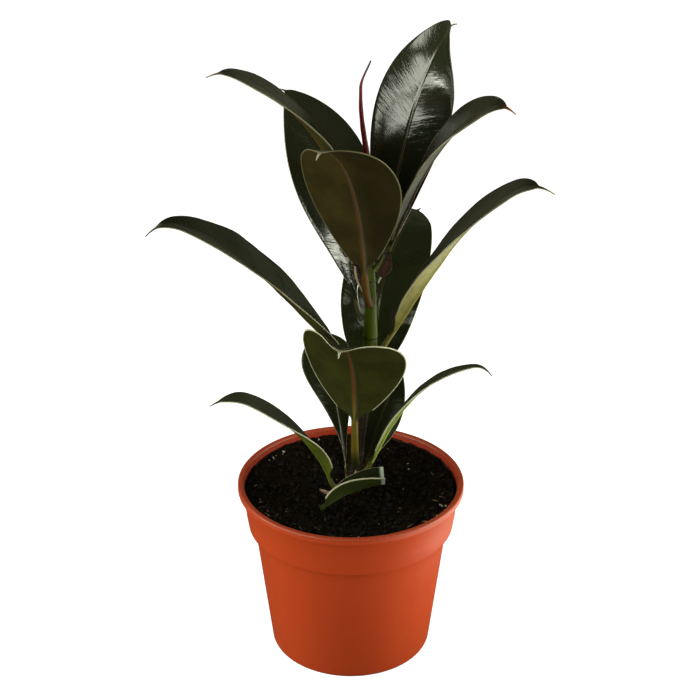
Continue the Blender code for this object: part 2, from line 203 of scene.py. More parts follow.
def finish_turned(sharp=40):
    """Turns the faces out, leaves edit mode and smooths all edges that are less sharp."""
    bpy.ops.mesh.select_all(action="SELECT")
    bpy.ops.mesh.normals_make_consistent(inside=False)
    bpy.ops.object.mode_set(mode="OBJECT")
    bpy.ops.object.transform_apply(location=True, rotation=True, scale=True)
    bpy.ops.object.shade_smooth_by_angle(angle=radians(sharp))


deselect()
bpy.ops.mesh.primitive_circle_add(
    vertices=POT_SIDES, radius=CHANNEL_INNER - 0.0004, fill_type="NGON", location=(0, 0, 0))
pot = named("nursery_pot")
bpy.ops.object.mode_set(mode="EDIT")
foot_centre = (pot_wall(FOOT_FILLET) - FOOT_FILLET, FOOT_FILLET)
step_radius = pot_wall(BAND_FOOT)
mouth = BAND_TOP_RADIUS - WALL
lip_foot = LIP_TOP - LIP_HEIGHT
channel_top = FLOOR + CHANNEL_RISE
outline = [                 # from the floor's middle out, up the outside and down the inside
    (CHANNEL_INNER + 0.0008, CHANNEL_RISE), (CHANNEL_OUTER - 0.0008, CHANNEL_RISE),
    (CHANNEL_OUTER + 0.0004, 0), *arc(foot_centre, FOOT_FILLET, -90, 0, 8),
    (pot_wall(0.02), 0.02), (pot_wall(0.04), 0.04), (pot_wall(0.06), 0.06),
    (step_radius, BAND_FOOT - 0.0012), (step_radius + 0.0003, BAND_FOOT - 0.0004),
    (step_radius + 0.0009, BAND_FOOT),
    *arc((BAND_FOOT_RADIUS - BAND_FOOT_EDGE, BAND_FOOT + BAND_FOOT_EDGE), BAND_FOOT_EDGE,
         -90, 0, 5),
    (BAND_FOOT_RADIUS + 0.0010, 0.080), (BAND_TOP_RADIUS - 0.0004, lip_foot - 0.0008),
    (BAND_TOP_RADIUS, lip_foot - 0.0001), (BAND_TOP_RADIUS + 0.0004, lip_foot),
    *arc((LIP_RADIUS - LIP_FOOT_EDGE, lip_foot + LIP_FOOT_EDGE), LIP_FOOT_EDGE, -90, 0, 4),
    *arc((LIP_RADIUS - LIP_EDGE, LIP_TOP - LIP_EDGE), LIP_EDGE, 0, 90, 6),
    *arc((mouth + MOUTH_EDGE + 0.0002, LIP_TOP - MOUTH_EDGE), MOUTH_EDGE, 90, 180, 6),
    (mouth, lip_foot), (BAND_FOOT_RADIUS - WALL, BAND_FOOT + WALL + 0.0011),
    (BAND_FOOT_RADIUS - WALL - 0.0008, BAND_FOOT + WALL),
    (step_radius - WALL + 0.0008, BAND_FOOT + WALL - 0.0002),
    (step_radius - WALL, BAND_FOOT + WALL - 0.0015),
    (pot_wall(FOOT_FILLET) - WALL, FOOT_FILLET), (foot_centre[0], FLOOR),
    (CHANNEL_OUTER + FLOOR, FLOOR), (CHANNEL_OUTER, channel_top),
    (CHANNEL_INNER, channel_top), (CHANNEL_INNER - FLOOR, FLOOR)]
drag_rings(outline, (CHANNEL_INNER - 0.0004, 0))
finish_turned()
for hole in range(DRAIN_HOLES):
    turn = 2 * pi * hole / DRAIN_HOLES
    around = (CHANNEL_INNER + CHANNEL_OUTER) / 2
    deselect()
    bpy.ops.mesh.primitive_cylinder_add(
        vertices=32, radius=DRAIN_HOLE_RADIUS, depth=DRILL_LENGTH,
        location=(around * cos(turn), around * sin(turn), CHANNEL_RISE))
    drill = bpy.context.object
    deselect()
    pot.select_set(True)
    bpy.context.view_layer.objects.active = pot
    drilled = pot.modifiers.new("drain_hole", "BOOLEAN")
    drilled.operation = "DIFFERENCE"
    drilled.object = drill
    bpy.ops.object.modifier_apply(modifier=drilled.name)
    bpy.data.objects.remove(drill)

# The finish soils only the wall above the bed, on its inner side
inside = [float(BAND_FOOT < vert.co.z < LIP_TOP - 0.0008 and vert.normal.xy.dot(vert.co.xy) < 0)
          for vert in pot.data.vertices]
pot.data.attributes.new("inside", "FLOAT", "POINT").data.foreach_set("value", inside)
pot.data.materials.append(moulded_plastic())
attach(pot, "root")
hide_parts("pot")


# ---------------------------------------------------------------- Soil
# Dark moist peat fills the pot to just under the lip, and clings to the wall. Bark crumbs,
# white perlite grains and a few dry fibres lie in its top.

SOIL_TOP = 0.0902
SOIL_BANK, SOIL_CLOD = 0.0024, 0.0016       # how much higher it lies along the wall
BED_SIDES, BED_RINGS = 288, 96
BED_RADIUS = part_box("soil")[1][0]
BED_FOOT_RADIUS = 0.039
BED_GAP = 0.0016            # from the pot's outside to the soil, through the wall
random = np.random.default_rng(7)


def peat():
    made, tree, shader = new_finish("moist_peat")
    coords = object_coords(tree)
    lumps = speckle(tree, coords, 240, 6, 0.7)
    grains_and_glints = speckle(tree, coords, 900, 3, 0.6)
    colour = mixed(tree, fade(tree, lumps, 0.35, 0.7), (0.0022, 0.0015, 0.0007),
                   (0.014, 0.0090, 0.0042))
    # Pale specks: painted glints on grains of the peat, which are also less rough there.
    colour = mixed(tree, fade(tree, grains_and_glints, 0.69, 0.79), colour, (0.035, 0.021, 0.009))
    rough = maths(tree, "SUBTRACT", 0.95, maths(
        tree, "MULTIPLY", fade(tree, grains_and_glints, 0.55, 0.8), 0.5))
    coarse = bumped(tree, lumps, 1.0, 0.0012)
    fill_sockets(shader, {
        "Base Color": colour, "Roughness": rough, "Specular IOR Level": 0.05,
        "Normal": bumped(tree, grains_and_glints, 1.0, 0.0005, coarse)})
    return made


def bark():
    made, tree, shader = new_finish("bark_crumbs")
    coords = object_coords(tree)
    patches = speckle(tree, coords, 330, 2, 0.5)
    colour = mixed(tree, fade(tree, patches, 0.55, 0.80), (0.0024, 0.0015, 0.0007),
                   (0.026, 0.0140, 0.0060))
    fill_sockets(shader, {
        "Base Color": colour, "Roughness": 0.62, "Specular IOR Level": 0.12,
        "Normal": bumped(tree, speckle(tree, coords, 1400, 3), 0.8, 0.0004)})
    return made


def perlite():
    made, tree, shader = new_finish("white_perlite")
    coords = object_coords(tree)
    pores = speckle(tree, coords, 1500, 4, 0.7)
    colour = mixed(tree, fade(tree, pores, 0.35, 0.6), (0.25, 0.20, 0.14), (0.62, 0.58, 0.48))
    fill_sockets(shader, {
        "Base Color": colour, "Roughness": 0.9, "Normal": bumped(tree, pores, 0.8, 0.0004)})
    return made


def shred():
    made, tree, shader = new_finish("root_shreds")
    tone = speckle(tree, object_coords(tree), 300, 2)
    colour = mixed(tree, fade(tree, tone, 0.35, 0.65), (0.030, 0.014, 0.006), (0.24, 0.15, 0.08))
    fill_sockets(shader, {"Base Color": colour, "Roughness": 0.8})
    return made


def smooth(t):
    t = min(max(t, 0.0), 1.0)
    return t * t * (3 - 2 * t)


def bed_height(x, y):
    """The bed's surface: banked up along the wall, with low swells, clods and granules."""
    reach = hypot(x, y) / BED_RADIUS
    bank = SOIL_BANK * smooth((reach - 0.6) / 0.3)
    clods = 0.7 + noise.noise(Vector((x * 130, y * 130, 4.0)))
    bank += SOIL_CLOD * max(0.0, clods) * smooth((reach - 0.93) / 0.06)
    swell = noise.noise(Vector((x * 75, y * 75, 3.0)))
    lump = noise.noise(Vector((x * 210, y * 210, 8.0)))
    granule = noise.noise(Vector((x * 620, y * 620, 5.0)))
    grit = noise.noise(Vector((x * 1400, y * 1400, 1.0)))
    return bank + 0.0009 * (0.8 * swell + 0.5 * lump) + 0.0006 * granule + 0.0003 * grit


def grain(bm, place, size, levels, uneven, slender=False):
    """One angular grain: a coarse ball, squashed or drawn out thin, turned and dented."""
    if slender:
        turn = Matrix.Rotation(random.uniform(0, 2 * pi), 4, "Z")
        turn = turn @ Matrix.Rotation(random.uniform(-0.5, 0.5), 4, "Y")
        squash = Matrix.Diagonal((1.0, 0.11, 0.11, 1))
    else:
        turn = Matrix.Rotation(random.uniform(0, 2 * pi), 4, random.normal(size=3))
        squash = Matrix.Diagonal((*random.uniform(0.45, 1.0, 3), 1))
    made = bmesh.ops.create_icosphere(
        bm, subdivisions=levels, radius=size,
        matrix=Matrix.Translation(place) @ turn @ squash)
    for vert in made["verts"]:
        vert.co += Vector(random.uniform(-uneven, uneven, 3)) * size


def scatter(name, patches, sizes, levels, uneven, finish, sunk, slender=False):
    """Grains in patches of the bed, each sunk into it by a share of its size.

    A patch is its count, its start and end in degrees round the pot, and its inner radius.
    """
    bm = bmesh.new()
    places = [patch[1:] for patch in patches for _ in range(patch[0])]
    for start, end, inner in places:
        angle = radians(random.uniform(start, end))
        reach = (inner ** 2 + random.uniform() * ((BED_RADIUS - 0.001) ** 2 - inner ** 2)) ** 0.5
        x, y = reach * cos(angle), reach * sin(angle)
        size = random.uniform(*sizes)
        z = SOIL_TOP + bed_height(x, y) + (0.0002 if slender else size * (0.5 - sunk))
        grain(bm, Vector((x, y, z)), size, levels, uneven, slender)
    mesh = bpy.data.meshes.new(name)
    bm.to_mesh(mesh)
    bm.free()
    made = bpy.data.objects.new(name, mesh)
    bpy.context.collection.objects.link(made)
    mesh.materials.append(finish)
    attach(made, "root")


deselect()
bed_floor = FLOOR + CHANNEL_RISE + 0.0006
bpy.ops.mesh.primitive_circle_add(
    vertices=BED_SIDES, radius=BED_FOOT_RADIUS, fill_type="NGON", location=(0, 0, bed_floor))
bed = named("soil_bed")
bpy.ops.object.mode_set(mode="EDIT")
bed_side = [
    (pot_wall(0.01) - BED_GAP, 0.008), (step_radius - BED_GAP, BAND_FOOT - 0.002),
    (BAND_FOOT_RADIUS - BED_GAP, BAND_FOOT + 0.003), (BED_RADIUS, SOIL_TOP - 0.0015)]
bed_top = [(BED_RADIUS * (1 - ring / (BED_RINGS + 1)), SOIL_TOP) for ring in range(BED_RINGS)]
drag_rings(bed_side + bed_top, (BED_FOOT_RADIUS, bed_floor))
finish_turned(sharp=80)
for vert in bed.data.vertices:
    if vert.co.z > SOIL_TOP - 0.002:
        vert.co.z += bed_height(vert.co.x, vert.co.y)
bed.data.materials.append(peat())
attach(bed, "root")
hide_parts("soil")

scatter("soil_crumbs", [(1000, 0, 360, 0.006)], (0.0005, 0.0022), 1, 0.20, bark(), 0.45)
scatter("perlite_grains", [(12, 0, 360, 0.012), (9, 134, 150, 0.050), (6, 104, 113, 0.051),
                           (4, -34, -18, 0.050), (5, -104, -78, 0.050)],
        (0.0003, 0.0009), 2, 0.12, perlite(), 0.25)
scatter("dry_shreds", [(30, 0, 360, 0.020), (40, -170, -95, 0.047), (16, -60, 20, 0.046)],
        (0.0010, 0.0026), 1, 0.04, shred(), 0.0, slender=True)


# ---------------------------------------------------------------- Stem
# A young upright stem, smooth and green above, turning brown and woody at its foot, where the
# brown is also painted dark as the shade under the lower leaves. A thin scar rings it at each
# leaf, where the leaf's sheath fell away.

STEM_FOOT, STEM_TOP = (corner[2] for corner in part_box("stem"))
STEM_SIDES = 40
STEM_STEP = 0.0006
SCARS = (0.0990, 0.1050, 0.1125, 0.1290, 0.1465, 0.1625, 0.1815, 0.2015, 0.2130, 0.2215)
SCAR_WIDTH, SCAR_NOTCH = 0.0007, 0.00022
SWELL, SWELL_LENGTH = 0.00028, 0.0022


def stem_centre(height):
    """The stem leans to the right from its foot on, and a little back near its top."""
    lean = 0.0020 + 0.0080 * smooth((height - 0.095) / 0.095)
    return Vector((lean - 0.0030 * smooth((height - 0.200) / 0.080), 0, height))


def stem_radius(height):
    """Thick below, and slender above the middle leaves."""
    return 0.0040 - 0.0016 * smooth((height - 0.165) / 0.060)


def stem_skin():
    """Green above and brown below, the brown painted dark as shade, streaked along its length,
    with a dark line at each scar.
    """
    made, tree, shader = new_finish("stem_skin")
    coords = object_coords(tree)
    height = add_node(tree, "SeparateXYZ", {0: coords}).outputs[2]
    cloudy = speckle(tree, coords, 120, 4, 0.6)
    streaks = speckle(tree, add_node(tree, "Mapping", {
        "Vector": coords, "Scale": (1, 1, 0.08)}).outputs[0], 900, 3, 0.6)
    green = mixed(tree, cloudy, (0.050, 0.070, 0.003), (0.095, 0.125, 0.008))
    # Woody brown, and also painted shade: made very dark, like the shade under the lower leaves.
    woody_brown_and_shade = mixed(tree, streaks, (0.010, 0.006, 0.003), (0.038, 0.022, 0.009))
    young = fade(tree, maths(tree, "ADD", height, maths(
        tree, "MULTIPLY", cloudy, 0.02)), 0.146, 0.158)
    colour = mixed(tree, young, woody_brown_and_shade, green)
    ring = None
    for scar in SCARS:
        near = maths(tree, "ABSOLUTE", maths(tree, "SUBTRACT", height, scar))
        line = fade(tree, near, SCAR_WIDTH, SCAR_WIDTH * 0.3)
        ring = line if ring is None else maths(tree, "MAXIMUM", ring, line)
    colour = mixed(tree, maths(tree, "MULTIPLY", ring, 0.8), colour, (0.018, 0.014, 0.006))
    fill_sockets(shader, {
        "Base Color": colour, "Specular IOR Level": 0.2,
        "Roughness": maths(tree, "ADD", 0.30, maths(tree, "MULTIPLY", streaks, 0.25)),
        "Normal": bumped(tree, streaks, 0.35, 0.0003)})
    return made


def stem_swell(height):
    """The stem thickens a little over each scar, with a notch at the scar itself."""
    swell = 0.0
    for scar in SCARS:
        over = (height - scar) / SWELL_LENGTH
        swell += SWELL * max(0.0, 1 - over * over) if over > 0 else 0.0
        notch = (height - scar) / SCAR_WIDTH
        swell -= SCAR_NOTCH * max(0.0, 1 - notch * notch)
    return swell


deselect()
bpy.ops.mesh.primitive_circle_add(
    vertices=STEM_SIDES, radius=stem_radius(STEM_FOOT), fill_type="NGON",
    location=stem_centre(STEM_FOOT))
stem = named("stem_with_scars")
bpy.ops.object.transform_apply(location=True)
bpy.ops.object.mode_set(mode="EDIT")
steps = round((STEM_TOP - STEM_FOOT) / STEM_STEP)
height, radius = STEM_FOOT, stem_radius(STEM_FOOT)
for step in range(1, steps + 1):
    reached = STEM_FOOT + (STEM_TOP - STEM_FOOT) * step / steps
    moved = stem_centre(reached) - stem_centre(height)
    grown = stem_radius(reached) + stem_swell(reached)
    bpy.ops.mesh.extrude_region_move(TRANSFORM_OT_translate={"value": tuple(moved)})
    bpy.ops.transform.resize(
        value=(grown / radius, grown / radius, 1), center_override=tuple(stem_centre(reached)))
    height, radius = reached, grown
finish_turned()
stem.data.materials.append(stem_skin())
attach(stem, "root")
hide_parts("stem")


# ---------------------------------------------------------------- Leaves
# Thick leathery blades, each grown in one piece with its petiole. The upper side is nearly
# black green and waxed, with a sunken midrib. The underside is olive and duller, with the
# midrib standing out. A pale bead of thin tissue runs round every margin.

PETIOLE_RADIUS, PETIOLE_FLARE = 0.0013, 0.0005
PETIOLE_REACH = 0.00115     # from the stem's skin to the middle of the petiole's foot
PETIOLE_STEPS, PETIOLE_ROWS = 8, 24
BLADE_ROWS, MIDRIB_STEPS = 150, 600
HALF_THICKNESS, MARGIN_BEAD = 0.00026, 0.00036
RIDGE, RIDGE_TIP = 0.0010, 0.0002           # how far the midrib stands out below
GROOVE, GROOVE_WIDTH = 0.00022, 0.0006
DRIP_TIP, DRIP_TIP_WIDTH = 0.86, 0.0026     # where the narrow tip starts, and half its width
QUARTER = 18                # points from the midrib to the margin, on one side
RIB_POINTS, BEAD_POINTS = 5, 4
VEIN_SPACING, VEIN_SLOPE, VEIN_DEPTH = 0.0042, 0.5, 0.00006

# Lengths in metres, turns in degrees. A leaf leaves the stem at "height" towards "heading".
# Its blade starts at "rise" above level and ends at "tip", turning late or early by the power
# "late", and "hook" bends it further down from "hook_from" on, while "swing" turns it to the
# left. The fold and the roll change along it, sooner for a higher "open". "peak" and
# "fullness" shape its outline, which closes at "end", where the bare drip tip begins. "stalk"
# is a thicker petiole's radius. The cut leaf has its foot at "root", beside the stem, and
# "cut" is the share of its outline that is left.
LEAVES = {
    "leaf_top_right": dict(
        height=0.211, heading=44.5, petiole=0.014, petiole_rise=45, length=0.1254, width=0.041,
        rise=79, tip=60, late=2.0, swing=-90, swing_late=3, fold=3, fold_tip=2, roll=40,
        hook=48, hook_from=0.945, peak=1.9, fullness=0.44, end=0.968),
    "leaf_upper_back_left": dict(
        height=0.190, heading=149, petiole=0.012, length=0.117, width=0.042, rise=84, tip=42,
        late=1.6, fold=1, fold_tip=1, roll=-32, hook=45, hook_from=0.93, peak=1.3, end=0.97),
    "leaf_upper_front": dict(
        height=0.202, heading=258, petiole=0.025, petiole_rise=45, stalk=0.0018, length=0.098,
        width=0.0475, rise=76.5, tip=14, late=2.4, swing=-20, swing_late=0.45, fold=4,
        fold_tip=4, roll=13, twist=-6, hook=60, hook_from=0.9, peak=1.35, fullness=0.58),
    "leaf_top_left": dict(
        height=0.223, heading=196, petiole=0.010, length=0.132, width=0.034, rise=82.8,
        tip=18.7, late=1.2, swing=10, fold=24, fold_tip=0, open=1.2, roll=4, twist=-18,
        hook=35, peak=1.15),
    "leaf_upper_right": dict(
        height=0.219, heading=338, petiole=0.010, length=0.115, width=0.0335, rise=69,
        tip=15.5, late=2.5, swing=-8, fold=26, fold_tip=8, open=1.3, roll=6, twist=14, hook=50,
        peak=1.7),
    "leaf_middle_right": dict(
        height=0.174, heading=342, petiole=0.012, length=0.126, width=0.0305, rise=61,
        tip=18.5, late=2.9, fold=66, fold_tip=7, open=2.6, roll=-4, twist=12, hook=48,
        hook_from=0.82, peak=1.5, fullness=0.52, end=0.93),
    "leaf_middle_left": dict(
        height=0.1625, heading=195, petiole=0.012, length=0.134, width=0.042, rise=51, tip=5,
        late=3.4, fold=20, fold_tip=8, open=1.3, roll=3, twist=-14, hook=50, hook_from=0.84,
        peak=0.85),
    "leaf_middle_back": dict(
        height=0.152, heading=67, petiole=0.008, length=0.107, width=0.0425, rise=83, tip=-10,
        late=1.3, fold=-6, fold_tip=-2, roll=12, peak=0.95, fullness=0.5),
    "leaf_lower_front": dict(
        height=0.110, heading=268, petiole=0.035, stalk=0.0018, length=0.077, width=0.055,
        rise=84, tip=14, late=1.5, swing=-13, swing_late=0.6, fold=7, fold_tip=18, roll=-7,
        hook=70, hook_from=0.88, peak=1.25, fullness=0.6),
    "leaf_low_back_left": dict(
        height=0.094, heading=125, petiole=0.004, length=0.082, width=0.0295, rise=80.5,
        tip=57, late=1.2, fold=8, roll=-12, peak=3.1, fullness=0.62),
    "leaf_low_back_right": dict(
        height=0.099, heading=35, petiole=0.008, length=0.057, width=0.0225, rise=73, tip=60,
        late=1.2, fold=4, roll=28, peak=1.1),
    "leaf_low_right": dict(
        height=0.103, heading=338, petiole=0.009, length=0.0975, width=0.015, rise=67.8, tip=7,
        late=1.8, swing=6, fold=10, twist=2, hook=60),
    "leaf_low_left": dict(
        height=0.093, heading=195, petiole=0.012, petiole_rise=5, length=0.090, width=0.027,
        rise=75, tip=25, late=0.72, fold=28, fold_tip=0, open=2, roll=22, twist=-24, hook=52,
        hook_from=0.72),
    "leaf_cut_short": dict(
        root=(-0.016, -0.021, 0.0925), heading=4, petiole=0.003, petiole_rise=16, length=0.034,
        width=0.019, rise=44, tip=3, late=0.8, fold=55, fold_tip=52, roll=-38, twist=40,
        fullness=0.5, cut=0.55),
}

# What differs from leaf to leaf. Colours: the upper side and its groove, the underside and
# its rib, the petiole ("foot") and its foot, darkened there as painted shade, the margin and
# the tip. Amounts: how far painted shade darkens the underside's left half, "gloss" and
# "dense" say how strongly the upper side shines, and "ripple" how far the blade swells.
BROWN_OLIVE, DEEP_OLIVE = (0.044, 0.032, 0.0066), (0.030, 0.023, 0.0060)
OLIVE, GRASS, PALE_OLIVE = (0.036, 0.036, 0.0055), (0.095, 0.120, 0.012), (0.270, 0.245, 0.055)
RUST, STRAW, CREAM = (0.120, 0.034, 0.009), (0.260, 0.215, 0.030), (0.62, 0.60, 0.42)
DRY_CREAM, FLAME, LIME = (0.42, 0.36, 0.26), (0.42, 0.12, 0.03), (0.22, 0.33, 0.08)
TINTS = {
    "leaf_top_right": dict(
        below=DEEP_OLIVE, edge=(0.15, 0.05, 0.016), groove=(0.110, 0.075, 0.026), gloss=1.0,
        dense=1.7),
    "leaf_upper_back_left": dict(below=DEEP_OLIVE, gloss=1.0, dense=1.7),
    "leaf_upper_front": dict(
        below=BROWN_OLIVE, rib=(0.080, 0.032, 0.008), foot=(0.110, 0.052, 0.007),
        edge=(0.17, 0.15, 0.07), tip=DRY_CREAM, painted_shade=0.55),
    "leaf_top_left": dict(above=(0.017, 0.017, 0.009), tip=DRY_CREAM),
    "leaf_upper_right": dict(above=(0.018, 0.017, 0.009), tip=FLAME),
    "leaf_middle_right": dict(
        above=(0.020, 0.019, 0.010), below=PALE_OLIVE, rib=STRAW, foot=(0.30, 0.26, 0.05),
        tip=LIME),
    "leaf_middle_left": dict(above=(0.010, 0.013, 0.004), ripple=0.0005),
    "leaf_middle_back": dict(gloss=0.6, ripple=0.0013),
    "leaf_lower_front": dict(
        below=OLIVE, rib=RUST, foot=(0.140, 0.105, 0.012), painted_shade_heel=(0.020, 0.022, 0.006),
        edge=CREAM, tip=CREAM),
    "leaf_low_back_left": dict(gloss=0.3),
    "leaf_low_back_right": dict(gloss=0.1),
    "leaf_low_left": dict(below=GRASS, rib=GRASS, edge=CREAM),
    "leaf_low_right": dict(
        below=(0.22, 0.28, 0.05), rib=(0.30, 0.36, 0.07), edge=CREAM, gloss=0.35),
    "leaf_cut_short": dict(
        above=(0.008, 0.010, 0.004), below=(0.034, 0.046, 0.009), rib=(0.045, 0.060, 0.012),
        foot=(0.045, 0.060, 0.012), edge=CREAM, tip=(0.40, 0.44, 0.36), gloss=0.0),
}


def leaf_axes(heading, rise, roll):
    """Unit vectors along the leaf, to its left and up from its upper side."""
    along = Vector((cos(rise) * cos(heading), cos(rise) * sin(heading), sin(rise)))
    left = Vector((-sin(heading), cos(heading), 0))
    upward = along.cross(left)
    side = left * cos(roll) + upward * sin(roll)
    return along, side, upward * cos(roll) - left * sin(roll)


def half_width(leaf, u):
    """Half the blade's width at u, from 0 at its base to 1 at its end."""
    shown = u * leaf.get("cut", 1.0) / leaf.get("end", 0.955)
    width = 0.0
    if shown < 1:
        width = sin(pi * shown ** leaf.get("peak", 0.92)) ** leaf.get("fullness", 0.8)
    width *= leaf["width"] / 2
    if "cut" not in leaf and u > DRIP_TIP:
        narrowed = ((1 - u) / (1 - DRIP_TIP)) ** 1.25
        width = max(width, DRIP_TIP_WIDTH * narrowed + 0.00025)
    return width


def opened(leaf, u):
    """How far the fold and the twist have gone at u, from their base to their tip values."""
    return 1 - (1 - u) ** leaf.get("open", 1.0)


def blade_axes(leaf, u):
    """The blade's own axes at u."""
    rise, tip = leaf["rise"], leaf["tip"]
    bend = rise + (tip - rise) * u ** leaf.get("late", 1.5)
    hook_from = leaf.get("hook_from", DRIP_TIP)
    bend -= leaf.get("hook", 0) * smooth((u - hook_from) / (1 - hook_from))
    swing = leaf.get("swing", 0) * u ** leaf.get("swing_late", 1.0)
    roll = leaf.get("roll", 0) + leaf.get("twist", 0) * opened(leaf, u)
    return leaf_axes(radians(swing), radians(bend), radians(roll))


def petiole_route(leaf):
    """Points and rises of the petiole in the leaf's own axes."""
    start, end = radians(leaf.get("petiole_rise", 55)), radians(leaf["rise"])
    points, rises = [Vector((0, 0, 0))], [start]
    for row in range(PETIOLE_ROWS):         # it bends in as many steps as the solid's does
        share = (int(row * PETIOLE_STEPS / PETIOLE_ROWS) + 0.5) / PETIOLE_STEPS
        rise = start + (end - start) * smooth(share)
        step = leaf["petiole"] / PETIOLE_ROWS
        points.append(points[-1] + Vector((cos(rise), 0, sin(rise))) * step)
        rises.append(start + (end - start) * smooth((row + 1) / PETIOLE_ROWS))
    return points, rises


def midrib_route(leaf, start):
    """Points along the midrib, each a small step on in the direction the blade has there."""
    points = [start]
    for i in range(MIDRIB_STEPS):
        along, _, _ = blade_axes(leaf, (i + 0.5) / MIDRIB_STEPS)
        points.append(points[-1] + along * leaf["length"] / MIDRIB_STEPS)
    return points


def section_spots(width, rib):
    """From midrib to margin: how far out each point lies, and its share of the bead's turn."""
    bead = min(MARGIN_BEAD, width * 0.3)
    rib = min(rib * 1.6, width * 0.45)
    web = QUARTER - RIB_POINTS - BEAD_POINTS
    spots = [(rib * i / RIB_POINTS, 0.0) for i in range(RIB_POINTS)]
    inner = width - bead
    spots += [(rib + (inner - rib) * i / web, 0.0) for i in range(web)]
    spots += [(inner + bead * sin(pi / 2 * i / BEAD_POINTS), i / BEAD_POINTS)
              for i in range(BEAD_POINTS + 1)]
    return spots, bead


def ripple(leaf, seed, s, x, width, u):
    """How far the blade stands off its smooth shape: swells, a wavy margin and the veins."""
    amount = leaf["ripple"] * smooth(u / 0.15) * smooth((1 - u) / 0.12)
    swell = noise.noise(Vector((s * 55, x * 70, seed)))
    fine = noise.noise(Vector((s * 150, x * 160, seed + 7)))
    out = abs(x) / max(width, 1e-5)
    wave = noise.noise(Vector((s * 48, seed * 3.1 + (5 if x > 0 else 9), 2.0)))
    height = amount * (swell + 0.30 * fine + 1.1 * out ** 3 * wave)
    vein = (0.5 + 0.5 * cos(2 * pi * (s - VEIN_SLOPE * abs(x)) / VEIN_SPACING)) ** 5
    vein *= smooth(abs(x) / 0.003) * smooth((1 - out) / 0.12) * smooth(u / 0.1)
    return height - VEIN_DEPTH * vein


def blade_ring(leaf, seed, u, centre):
    """Points round the blade's section at u, with what its finish reads at each."""
    _, side, upward = blade_axes(leaf, u)
    fold = leaf.get("fold", 15)
    fold = radians(fold + (leaf.get("fold_tip", fold * 0.5) - fold) * opened(leaf, u))
    root = 1 - smooth(u / 0.10)
    stalk = leaf.get("stalk", PETIOLE_RADIUS)
    width = max(half_width(leaf, u), stalk * root)
    thin = 1.0 if "cut" in leaf else 1 - 0.35 * smooth((u - 0.80) / 0.20)
    ridge = (RIDGE * (1 - u) ** 0.8 + RIDGE_TIP) * thin
    groove = GROOVE * smooth((1 - u) / 0.3)
    spots, bead = section_spots(width, ridge * 1.4)
    points, facts = [], []
    for k in range(4 * QUARTER):
        above = k <= 2 * QUARTER
        v = QUARTER - k if above else k - 3 * QUARTER
        out, turned = spots[abs(v)]
        hand = 1 if v > 0 else -1
        if turned > 0:
            half = bead * thin * cos(pi / 2 * turned)
        else:
            half = HALF_THICKNESS * thin
        if above:
            half -= groove * np.exp(-(out / GROOVE_WIDTH) ** 2)
        else:
            half += ridge * np.exp(-(out / (ridge * 1.05)) ** 2)
        crease = ((out * out + 0.0008 ** 2) ** 0.5 - 0.0008) * sin(fold)
        lift = crease + ripple(leaf, seed, u * leaf["length"], hand * out, width, u)
        flat = centre + side * (hand * out * cos(fold))
        flat += upward * (lift + (half if above else -half))
        angle = pi / 2 * k / QUARTER
        round_point = centre + (side * cos(angle) + upward * sin(angle)) * stalk
        points.append(flat.lerp(round_point, root))
        facts.append((width - out + 0.01 * root, out, 0.0 if above else 1.0, u, hand * out))
    return points, facts


def leaf_rings(leaf, seed):
    """All the rings of one leaf, foot to end, in its own axes, and the facts of each point."""
    rings, facts = [], []
    reach = 0.0 if "root" in leaf else stem_radius(leaf["height"]) + PETIOLE_REACH
    route, rises = petiole_route(leaf)
    route = [point + Vector((reach, 0, 0)) for point in route]
    for row, (centre, rise) in enumerate(zip(route[:-1], rises)):
        share = row / PETIOLE_ROWS
        _, side, upward = leaf_axes(0, rise, radians(leaf.get("roll", 0)) * share)
        radius = leaf.get("stalk", PETIOLE_RADIUS) + PETIOLE_FLARE * (1 - share) ** 2
        turns = [pi / 2 * k / QUARTER for k in range(4 * QUARTER)]
        rings.append([centre + (side * cos(a) + upward * sin(a)) * radius for a in turns])
        facts.append([(0.01, 0.0, 0.0 if k <= 2 * QUARTER else 1.0, share - 1.0, 0.0)
                      for k in range(4 * QUARTER)])
    points = midrib_route(leaf, route[-1])
    for row in range(BLADE_ROWS + 1):
        u = (row / BLADE_ROWS) ** 0.94
        exact = u * MIDRIB_STEPS
        low = min(int(exact), MIDRIB_STEPS - 1)
        centre = points[low].lerp(points[low + 1], exact - low)
        ring, fact = blade_ring(leaf, seed, u, centre)
        rings.append(ring)
        facts.append(fact)
    count = 4 * QUARTER                     # a last ring, flat between the sides, shuts the end
    middle = [rings[-1][k].lerp(rings[-1][(count - k) % count], 0.5) for k in range(count)]
    rings.append(middle)
    facts.append(facts[-1])
    return rings, facts


